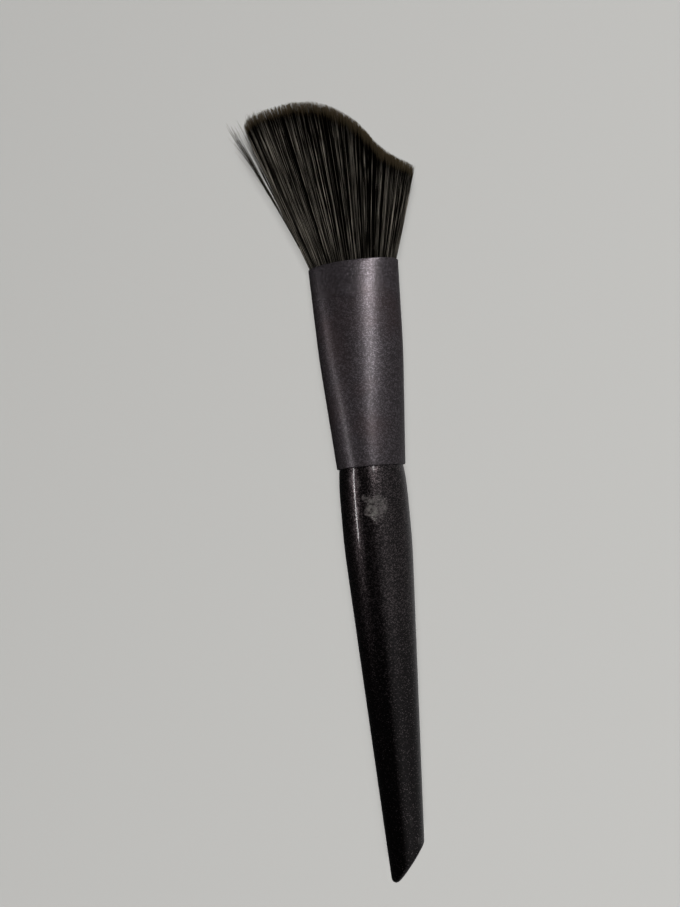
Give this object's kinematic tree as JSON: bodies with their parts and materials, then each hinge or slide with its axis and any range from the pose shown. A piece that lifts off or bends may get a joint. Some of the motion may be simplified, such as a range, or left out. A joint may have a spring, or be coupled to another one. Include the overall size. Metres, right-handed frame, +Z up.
{
  "type": "makeup brush",
  "caption": "Face contour brush: tapered round handle with a slanted end, pressed oval ferrule and an S-shaped fan of bristles.",
  "frame": {"origin": "on the ground, under the middle of the box of the brush as it lies on its flat side", "axes": "+Y along the brush's axis towards the bristles, +X across the flat head towards its low corner, +Z up through the head's thickness"},
  "size_m": [0.041, 0.1692, 0.0149],
  "materials": {
    "handle_lacquer": "gloss",
    "ferrule_metal": "satin",
    "root_adhesive": "satin",
    "bristle_fibre": "matte"
  },
  "bodies": {
    "root": {"handle": "handle_lacquer", "ferrule": "ferrule_metal", "root_adhesive": "root_adhesive", "bristle_bundle": "bristle_fibre", "stray_bristles": "bristle_fibre"}
  },
  "joints": []
}
